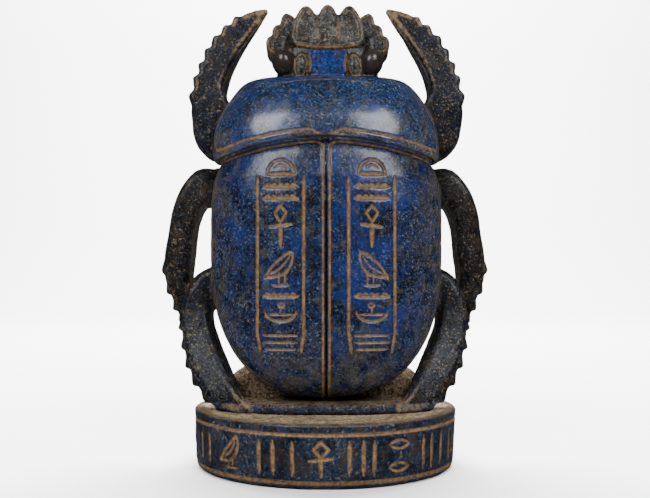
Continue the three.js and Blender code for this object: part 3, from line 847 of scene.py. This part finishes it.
class Wire:
    """One output socket that can be used in sums."""

    def __init__(self, tree, socket):
        self.tree, self.socket = tree, socket

    def maths(self, operation, *others, first=None, clamp=False):
        made = self.tree.nodes.new("ShaderNodeMath")
        made.operation, made.use_clamp = operation, clamp
        for slot, value in enumerate((self if first is None else first, *others)):
            join(self.tree, made.inputs[slot], value)
        return Wire(self.tree, made.outputs[0])

    def __add__(self, other):
        return self.maths("ADD", other)

    def __sub__(self, other):
        return self.maths("SUBTRACT", other)

    def __mul__(self, other):
        return self.maths("MULTIPLY", other)

    def __truediv__(self, other):
        return self.maths("DIVIDE", other)

    def __rsub__(self, other):
        return self.maths("SUBTRACT", self, first=other)

    def __neg__(self):
        return self.maths("SUBTRACT", self, first=0.0)

    __radd__, __rmul__ = __add__, __mul__

    def held(self):
        return self.maths("ADD", 0.0, clamp=True)

    def ramp(self, low, high):
        made = self.tree.nodes.new("ShaderNodeMapRange")
        made.interpolation_type = "SMOOTHSTEP"
        for name, value in (("Value", self), ("From Min", low), ("From Max", high)):
            join(self.tree, made.inputs[name], value)
        return Wire(self.tree, made.outputs[0])


def join(tree, socket, value):
    if isinstance(value, Wire):
        tree.links.new(value.socket, socket)
    else:
        socket.default_value = value


class Nodes:
    """Nodes added to one tree, by type, settings and sockets."""

    def __init__(self, tree):
        self.tree = tree

    def add(self, kind, output=0, settings=(), **sockets):
        made = self.tree.nodes.new(kind)
        for name, value in dict(settings).items():
            setattr(made, name, value)
        for name, value in sockets.items():
            key = int(name[1:]) if name[0] == "n" and name[1:].isdigit() else name.replace("_", " ")
            join(self.tree, made.inputs[key], value)
        return Wire(self.tree, made.outputs[output])


def paint(red, green, blue):
    """A colour given from 0 to 255 as the eye sees it."""
    line = lambda c: c / 12.92 if c <= 0.04045 else ((c + 0.055) / 1.055) ** 2.4
    return (*(line(c / 255) for c in (red, green, blue)), 1.0)


class Material(Nodes):
    def __init__(self, name):
        self.made = bpy.data.materials.new(name)
        self.made.use_nodes = True
        super().__init__(self.made.node_tree)
        self.surface = self.tree.nodes["Principled BSDF"]
        self.place = self.add("ShaderNodeTexCoord", "Object")

    def value(self, name):
        return self.add("ShaderNodeAttribute", "Fac", dict(attribute_name=name))

    def noise(self, size, detail=3.0, rough=0.55, shift=0.0):
        """Noise whose features have this size in millimetres."""
        place = self.place
        if shift:
            place = self.add("ShaderNodeVectorMath", 0, n0=self.place, n1=(shift, shift, shift))
        return self.add(
            "ShaderNodeTexNoise", 0, Vector=place, Scale=1 / (size * MM), Detail=detail, Roughness=rough
        )

    def cells(self, size):
        """A value from 0 to 1 for each grain of this size in millimetres."""
        found = self.add("ShaderNodeTexVoronoi", "Color", Vector=self.place, Scale=1 / (size * MM))
        return self.add("ShaderNodeSeparateColor", 0, Color=found)

    def mix(self, factor, a, b):
        return self.add("ShaderNodeMix", 2, dict(data_type="RGBA"), Factor=factor, n6=a, n7=b)

    def grained(self, dark, light, *noise):
        """Two colours mixed by noise."""
        return self.mix(self.noise(*noise), paint(*dark), paint(*light))

    def bump(self, height, strength, distance):
        return self.add("ShaderNodeBump", 0, Height=height, Strength=strength, Distance=distance * MM)

    def finish(self, **sockets):
        for name, value in sockets.items():
            join(self.tree, self.surface.inputs[name.replace("_", " ")], value)
        return self.made


def palette(m, base, *layers):
    """Three tones of stone, changed layer by layer where each mask says."""
    for mask, tones in layers:
        base = [m.mix(mask, a, paint(*b)) for a, b in zip(base, tones)]
    return base


def veined(m, deep, mid, light):
    """Mottled stone: broad patches, upright streaks and fine grains."""
    stretched = m.add("ShaderNodeVectorMath", 0, dict(operation="MULTIPLY"), n0=m.place, n1=(1.0, 1.0, 0.4))
    streak = m.add("ShaderNodeTexNoise", 0, Vector=stretched, Scale=1 / (1.5 * MM), Detail=3.0)
    broad, fine, grain = m.noise(8.0, 3.0), m.noise(0.8, 4.0, 0.75), m.cells(0.4)
    tone = (broad - 0.5) * 1.4 + (streak - 0.5) * 1.6 + (fine - 0.5) * 4.5 + (grain - 0.5) * 0.6 + 0.5
    colour = m.mix(tone.ramp(0.0, 1.0), deep, mid)
    speck = ((m.noise(0.7, 4.0, 0.75, 0.3) - 0.5) * 4.5 + (grain - 0.5) * 0.5 + (broad - 0.5)).ramp(0.2, 1.0)
    colour = m.mix(speck * 0.8, colour, light)
    return colour, streak


def ochre_of(m, dark, light):
    """The light fill of the grooves."""
    return m.mix(m.noise(0.9, 3.0).ramp(0.15, 0.85), paint(*dark), paint(*light))


def pitted(m, streak, strength, distance):
    """Small pits and ripples in the polish."""
    height = m.noise(1.0, 3.0, 0.6) * 1.2 + streak * 0.5 + m.cells(0.45) * 0.25
    return m.bump(height, strength, distance)


BLUE = (paint(1, 4, 11), paint(4, 20, 50), paint(70, 78, 80))


def make_carved_stone():
    m = Material("Carved blue stone")
    wash, shade_and_patina, edge = m.value("wash"), m.value("shade_and_patina"), m.value("edge")
    trunk = m.value("trunk")
    off = 1.0 - trunk
    leg, seat, top = m.value("leg") * off, m.value("seat") * off, m.value("head") * off
    tones = palette(
        m, BLUE,
        (m.value("neck") * trunk, ((2, 7, 18), (9, 30, 62), (72, 84, 92))),
        (leg, ((1, 2, 3), (6, 14, 29), (84, 76, 54))),
        (top, ((3, 4, 5), (16, 22, 28), (88, 80, 62))),
        # Paler grey on the toothed plate, cheeks and shield rim; on the toothed plate it is painted light
        (m.value("worn_and_lit"), ((16, 16, 17), (52, 52, 50), (110, 102, 88))),
        (m.value("face"), ((3, 12, 36), (11, 36, 86), (50, 78, 114))),
        (m.value("umber") * off, ((2, 2, 3), (15, 18, 24), (88, 76, 56))),
        (seat, ((28, 23, 17), (84, 70, 54), (136, 120, 94))),
        (m.value("upright") * off, ((10, 16, 28), (30, 42, 66), (100, 98, 92))),
    )
    colour, streak = veined(m, *tones)
    ochre = ochre_of(m, (46, 31, 15), (116, 89, 54))
    brown = m.noise(3.2, 4.0, 0.6, 0.11)
    # Brown stain in patches, heavier on the legs and head, and in hollows, where it is partly patina and
    # partly painted shade
    stain = (brown.ramp(0.52, 0.68) * (0.35 + leg * 0.5 + top * 0.4 + shade_and_patina * 0.5)).held()
    colour = m.mix(stain, colour, m.grained((9, 7, 5), (40, 30, 19), 0.9))
    patch = m.noise(5.0, 3.0, 0.6, 1.7).ramp(0.38, 0.62) + 0.25
    specks = m.noise(0.6, 4.0, 0.75, 0.7).ramp(0.59, 0.67) * patch * (1.0 - trunk * 0.4)
    colour = m.mix((specks * (1.0 - m.value("face")) * 0.8).held(), colour, paint(108, 92, 62))
    worn_and_lit = m.noise(1.4, 4.0, 0.6, 0.5)
    flank = (m.value("flank") * trunk * m.noise(4.0, 4.0, 0.6, 0.9).ramp(0.38, 0.6) * 0.5).held()
    colour = m.mix(flank, colour, m.grained((20, 20, 20), (74, 66, 52), 0.8))
    bright = (m.noise(8.0, 3.0, 0.6, 1.3).ramp(0.45, 0.7) * trunk * (1.0 - m.value("flank")) * 0.5).held()
    colour = m.mix(bright, colour, m.grained((2, 9, 30), (8, 38, 104), 0.6, 3.0, 0.7))
    moss = (m.noise(3.6, 4.0, 0.65, 2.3).ramp(0.53, 0.68) * trunk * 0.34).held()
    colour = m.mix(moss, colour, m.grained((8, 20, 26), (80, 78, 50), 0.7, 3.0, 0.7))
    horn = ((leg + top * 0.7) * (1.0 - m.value("face"))).held()
    ridge = m.value("ridge").ramp(0.26, 0.48) * (leg * 0.7 + top * 0.25)
    rim = (edge.ramp(0.10, 0.42) + ridge * (1.0 - m.value("face"))).held()
    # Tan and ochre on convex edges and ridges: partly wear, partly a painted highlight
    rubbed_and_highlight = (rim * worn_and_lit.ramp(0.3, 0.62) * (0.25 + horn * 0.5)).held()
    colour = m.mix(rubbed_and_highlight, colour, m.mix(horn * 0.6, ochre, paint(128, 110, 82)))
    # Painted shade: hollows darkened towards dark brown by their occlusion, with some brown patina
    colour = m.mix(shade_and_patina.ramp(0.4, 0.85) * 0.6, colour, paint(28, 22, 17))
    colour = m.mix((wash * worn_and_lit.ramp(0.2, 0.45)).held(), colour, ochre)
    colour = m.mix(m.value("slit"), colour, paint(14, 10, 8))
    eye = m.value("eye")
    colour = m.mix(eye, colour, m.grained((6, 6, 7), (38, 31, 26), 1.6))
    rough = 0.17 + m.noise(1.2) * 0.16 + wash * 0.3 + seat * 0.5 + leg * 0.08 - eye * 0.1
    rough = rough + m.value("side") * (0.2 + off * 0.6)
    m.surface.inputs["IOR"].default_value = 1.22
    # The shell and the eyes keep their polish
    m.surface.inputs["Coat Roughness"].default_value = 0.25
    m.surface.inputs["Coat IOR"].default_value = 1.4
    polish = (trunk * (1.0 - wash) * (m.value("neck") * 0.35 + 0.45) + eye * 0.5).held()
    pits = pitted(m, streak, 0.8, 0.17)
    return m.finish(Base_Color=colour, Roughness=rough.held(), Coat_Weight=polish, Normal=pits)


def make_plinth_stone():
    m = Material("Plinth stone")
    wash, dust, edge = m.value("wash"), m.value("dust"), m.value("edge")
    tones = (paint(4, 7, 13), paint(17, 30, 50), paint(84, 82, 72))
    tones = palette(m, tones, (dust, ((76, 64, 48), (140, 124, 98), (180, 164, 136))))
    colour, streak = veined(m, *tones)
    brown = m.noise(3.2, 4.0, 0.6, 0.11)
    stain = brown.ramp(0.48, 0.64) * 0.55 * (1.0 - dust * 0.6)
    colour = m.mix(stain, colour, m.grained((13, 10, 7), (58, 45, 30), 0.9))
    ochre = ochre_of(m, (52, 37, 19), (124, 96, 60))
    worn_and_lit = m.noise(1.4, 4.0, 0.6, 0.5)
    # Ochre on the top rim: partly wear, partly a painted highlight
    colour = m.mix((edge * worn_and_lit.ramp(0.36, 0.6) * 0.7).held(), colour, ochre)
    colour = m.mix((wash * worn_and_lit.ramp(0.2, 0.45)).held(), colour, ochre)
    rough = 0.24 + m.noise(1.2) * 0.14 + dust * 0.45 + wash * 0.25
    m.surface.inputs["IOR"].default_value = 1.3
    return m.finish(Base_Color=colour, Roughness=rough.held(), Normal=pitted(m, streak, 0.7, 0.16))


# ---- plinth

RIM_ROUND, FOOT_ROUND, GROOVE_SIZE = 0.7 * MM, 1.8 * MM, 0.6 * MM
TAPER, SWELL = 0.7 * MM, 0.25 * MM
GROOVES = (PLINTH_HIGH.z - 2.3 * MM, PLINTH_LOW.z + 1.7 * MM)
AROUND, TOP_ROWS, EDGE_ROWS, WALL_ROWS, BASE_ROWS = 640, 14, 6, 52, 5


def drum_nodes(sizes, stone):
    """An oval drum with rounded edges and two grooves, from its named sizes."""
    tree = bpy.data.node_groups.new("Oval drum", "GeometryNodeTree")

    def socket(name, kind, way="INPUT"):
        return tree.interface.new_socket(name, in_out=way, socket_type="NodeSocket" + kind)

    socket("Geometry", "Geometry")
    for name, size in sizes.items():
        socket(name, "Float").default_value = size
    socket("Stone", "Material").default_value = stone
    socket("Geometry", "Geometry", "OUTPUT")
    n = Nodes(tree)
    given = tree.nodes.new("NodeGroupInput")
    size = {name: Wire(tree, given.outputs[name]) for name in (*sizes, "Stone")}
    rows = TOP_ROWS + EDGE_ROWS + WALL_ROWS + EDGE_ROWS + BASE_ROWS
    grid = n.add(
        "GeometryNodeMeshGrid", 0, Size_X=1.0, Size_Y=float(rows), Vertices_X=AROUND + 1, Vertices_Y=rows + 1
    )
    place = n.add("GeometryNodeInputPosition")
    split = n.add("ShaderNodeSeparateXYZ", 0, n0=place)
    turn = (split + 0.5) * (2 * math.pi)
    row = Wire(tree, split.socket.node.outputs[1]) + rows / 2
    ends = np.cumsum([0, TOP_ROWS, EDGE_ROWS, WALL_ROWS, EDGE_ROWS, BASE_ROWS]).tolist()
    share = [((row - a) / (b - a)).held() for a, b in zip(ends[:-1], ends[1:])]
    top, rim, wall, foot, base = share
    (rim_sin, rim_cos), (foot_sin, foot_cos) = (
        [(part * (math.pi / 2)).maths(kind) for kind in ("SINE", "COSINE")] for part in (rim, foot)
    )
    upper, lower = size["Rim"], size["Foot"]
    straight = size["Height"] - upper - lower
    height = size["Height"] - upper * (1.0 - rim_cos) - wall * straight - lower * foot_sin
    inset = upper * (1.0 - rim_sin) + lower * (1.0 - foot_cos)
    inset = inset + size["Taper"] * (1.0 - height / size["Height"]) - size["Swell"]
    for name in ("Upper", "Lower"):
        away = (height - size[name]) / (size["Groove"] * 0.5)
        pulse = (1.0 - away * away * 0.5).maths("MAXIMUM", 0.0)
        inset = inset + pulse * pulse * size["Groove"] * 0.75
    reach = top * (1.0 - base)
    x = turn.maths("SINE") * (size["Length"] * 0.5 - inset) * reach
    y = -(turn.maths("COSINE")) * (size["Depth"] * 0.5 - inset) * reach
    shaped = n.add("ShaderNodeCombineXYZ", 0, n0=x, n1=y, n2=height)
    drum = n.add("GeometryNodeSetPosition", 0, Geometry=grid, Position=shaped)
    drum = n.add("GeometryNodeMergeByDistance", 0, Geometry=drum, Distance=0.02 * MM)
    drum = n.add("GeometryNodeSetShadeSmooth", 0, Geometry=drum)
    drum = n.add("GeometryNodeRealizeInstances", 0, Geometry=drum)
    drum = n.add("GeometryNodeSetMaterial", 0, Geometry=drum, Material=size["Stone"])
    result = tree.nodes.new("NodeGroupOutput")
    tree.links.new(drum.socket, result.inputs[0])
    return tree


def drum_mesh(stone):
    span = PLINTH_HIGH - PLINTH_LOW
    sizes = dict(
        Length=span.x, Depth=span.y, Height=span.z, Rim=RIM_ROUND, Foot=FOOT_ROUND, Groove=GROOVE_SIZE,
        Upper=GROOVES[0] - PLINTH_LOW.z, Lower=GROOVES[1] - PLINTH_LOW.z, Taper=TAPER, Swell=SWELL,
    )
    holder = placed("Drum_holder", bpy.data.meshes.new("Drum_holder"))
    holder.modifiers.new("Drum", "NODES").node_group = drum_nodes(sizes, stone)
    graph = bpy.context.evaluated_depsgraph_get()
    mesh = bpy.data.meshes.new_from_object(holder.evaluated_get(graph))
    bpy.data.objects.remove(holder)
    return mesh


def band_marks(half_lap):
    """Made-up marks around the band: (points, width, depth, wash), in mm from the front middle."""
    marks = []
    line = lambda points, width=0.8: marks.append((points, width, 0.42, 1.0))
    low, high = 3.3, 11.0
    mid = (low + high) / 2

    def post(s, top=high, foot=low, width=0.85):
        line([(s, foot), (s, top)], width)

    def leaf(s):
        line(bend([(s - 3.2, low + 1.8), (s - 0.6, mid + 1.2), (s + 2.4, high), (s + 2.2, mid + 0.4),
                   (s, low + 2.0), (s - 3.2, low + 1.8)]), 0.7)
        line(bend([(s - 1.6, low + 2.6), (s + 0.6, mid + 0.6), (s + 1.8, high - 1.2)], 10), 0.5)
        line([(s - 0.6, low + 2.0), (s - 0.5, low + 0.5)], 0.5)
        line([(s + 0.8, low + 2.6), (s + 1.0, low + 0.5)], 0.5)
        line([(s - 1.2, low + 0.3), (s + 2.4, low + 0.3)], 0.5)

    def lozenge(s):
        points = [(s, high), (s + 1.7, high - 1.7), (s, mid + 0.2), (s - 1.7, high - 1.7), (s, high)]
        line(points, 0.7)
        line([(s, mid + 0.2), (s, low - 0.2)], 1.0)
        line([(s - 2.9, mid - 0.5), (s + 2.9, mid + 0.1)], 0.8)

    def lenses(s):
        for z in (high - 1.2, low + 1.3):
            line(arc((s, z - 1.0), (2.9, 1.9), 25, 155), 0.6)
            line(arc((s, z + 0.9), (2.9, 1.9), 205, 335), 0.6)
        line([(s + 0.4, mid + 0.7), (s + 0.2, mid - 0.6)], 0.5)

    # One run of marks is seen from the front, and follows once more behind
    run = (
        (post, -36.1), (post, -32.0), (leaf, -24.2), (post, -15.7), (post, -12.2), (post, -7.5),
        (lozenge, -0.9), (post, 5.6), (post, 8.9), (post, 11.5), (lenses, 17.9), (post, 25.2),
        (post, 28.2), (post, 32.2), (post, 37.1), (leaf, 42.2), (lenses, -44.0),
    )
    for behind in (0.0, 94.3):
        for mark, s in run:
            mark((s + behind + half_lap) % (2 * half_lap) - half_lap)
    for s in (-51.0, -54.5):
        post(s)
    return marks


def make_plinth(stone):
    mesh = drum_mesh(stone)
    mesh.name = "Plinth_drum"
    count = len(mesh.vertices)
    verts = np.empty(count * 3)
    mesh.vertices.foreach_get("co", verts)
    verts = verts.reshape(-1, 3)
    half_x, half_y, _ = (PLINTH_HIGH - PLINTH_LOW) / 2
    turn = np.linspace(-math.pi, math.pi, 721)
    walk = np.concatenate([[0], np.cumsum(np.hypot(
        np.diff(np.sin(turn)) * half_x, np.diff(np.cos(turn)) * half_y))]) / MM
    walk -= walk[360]
    around = np.interp(np.arctan2(verts[:, 0] / half_x, -verts[:, 1] / half_y), turn, walk)
    height = verts[:, 2] / MM
    top = (PLINTH_HIGH.z - PLINTH_LOW.z) / MM
    wall = (height > 2.6) & (height < top - 3.0)
    wall &= np.hypot(verts[:, 0] / half_x, verts[:, 1] / half_y) > 0.9
    flat = np.stack([around, np.zeros(count), height], 1)
    lines = [
        (np.array([(x, 0.0, z) for x, z in points]), width, depth, tint)
        for points, width, depth, tint in band_marks(walk[-1])
    ]
    at = np.flatnonzero(wall)
    wash = np.zeros(count)
    push, wash[at], _ = cut_of(flat[at], lines)
    out = np.stack([verts[:, 0] / half_x**2, verts[:, 1] / half_y**2], 1)
    out /= np.maximum(np.linalg.norm(out, axis=1), 1e-9)[:, None]
    rough = lattice_noise(verts / MM, 4.0, 7) * 0.10 + lattice_noise(verts / MM + 9, 1.6, 8) * 0.05
    verts[:, :2] += out * ((rough - 0.12) * MM * (height > 0.4))[:, None]
    verts[at, :2] -= out[at] * (push * MM)[:, None]
    mesh.vertices.foreach_set("co", verts.ravel())
    for z in GROOVES:
        wash = np.maximum(wash, 1 - ease(0.25, 0.5, np.abs(height - (z - PLINTH_LOW.z) / MM)))
    rim = np.hypot(verts[:, 0] / half_x, verts[:, 1] / half_y)
    dust = ease(top - 0.4, top - 0.02, height) * (1 - 0.8 * ease(0.955, 0.975, rim))
    # A band round the top edge; the ochre it takes is partly wear, partly a painted highlight on the rim
    edge = ease(top - 1.0, top - 0.4, height) * ease(0.94, 0.97, rim) * (1 - ease(0.985, 1.0, rim))
    label(mesh, dict(wash=wash, dust=dust, edge=edge))
    mesh.update()
    return placed("Plinth", mesh)


# ---- floor, light and camera


def make_floor():
    mesh = bpy.data.meshes.new("Floor")
    reach, back = 1.4, 0.8
    rows = [(-reach * 0.6, 0.0), (back, 0.0)]
    rows += [(back + 0.5 * math.sin(a), 0.5 - 0.5 * math.cos(a)) for a in np.linspace(0.1, math.pi / 2, 12)]
    rows.append((back + 0.5, 0.75))
    verts = [(side * reach, y, z) for y, z in rows for side in SIDES]
    faces = [(2 * k, 2 * k + 1, 2 * k + 3, 2 * k + 2) for k in range(len(rows) - 1)]
    mesh.from_pydata(verts, [], faces)
    mesh.shade_smooth()
    m = Material("Pale floor")
    mesh.materials.append(m.finish(Base_Color=paint(238, 238, 238), Roughness=0.8))
    floor = placed("Floor", mesh)
    floor.visible_glossy = False
    return floor


def soft_light(name, place, aim, size, power, seen=True):
    data = bpy.data.lights.new(name, "AREA")
    data.shape, data.size, data.size_y = "RECTANGLE", size[0], size[1]
    data.energy = power
    light = bpy.data.objects.new(name, data)
    light.location = place
    light.rotation_euler = (Vector(aim) - Vector(place)).to_track_quat("-Z", "Y").to_euler()
    light.visible_glossy = seen
    bpy.context.scene.collection.objects.link(light)


def make_lights():
    aim = (0, 0, 0.075)
    for across in (-0.31, 0.28):
        soft_light("Softbox", (across, -0.48, 0.50), aim, (0.24, 0.40), 6.0)
    # These two aren't seen in the polish
    soft_light("Floor light", (0, 0.40, 0.60), (0, 0.05, 0), (0.7, 0.3), 16.0, False)
    soft_light("Backdrop light", (0, 0.45, 1.2), (0, 1.2, 0.3), (1.4, 0.4), 150.0, False)
    world = bpy.data.worlds.new("Studio")
    world.use_nodes = True
    world.node_tree.nodes["Background"].inputs[0].default_value = (0.93, 0.95, 1.0, 1)
    world.node_tree.nodes["Background"].inputs[1].default_value = 0.08
    bpy.context.scene.world = world


CAMERA_PLACE, CAMERA_TILT = (0, -0.204, 0.0474), 92.3


def make_camera():
    data = bpy.data.cameras.new("Camera")
    data.lens, data.sensor_width = 42.76, 36
    data.clip_start, data.clip_end = 0.01, 20
    camera = bpy.data.objects.new("Camera", data)
    camera.location = CAMERA_PLACE
    camera.rotation_euler = (math.radians(CAMERA_TILT), 0, 0)
    bpy.context.scene.collection.objects.link(camera)
    bpy.context.scene.camera = camera


def build():
    scarab = make_scarab()
    scarab.data.materials.append(make_carved_stone())
    plinth = make_plinth(make_plinth_stone())
    for piece, node, slot in ((scarab, "scarab", "carved_stone"), (plinth, "plinth", "plinth_stone")):
        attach(piece, "root")
        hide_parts(node)
    make_floor()
    make_lights()
    make_camera()


build()
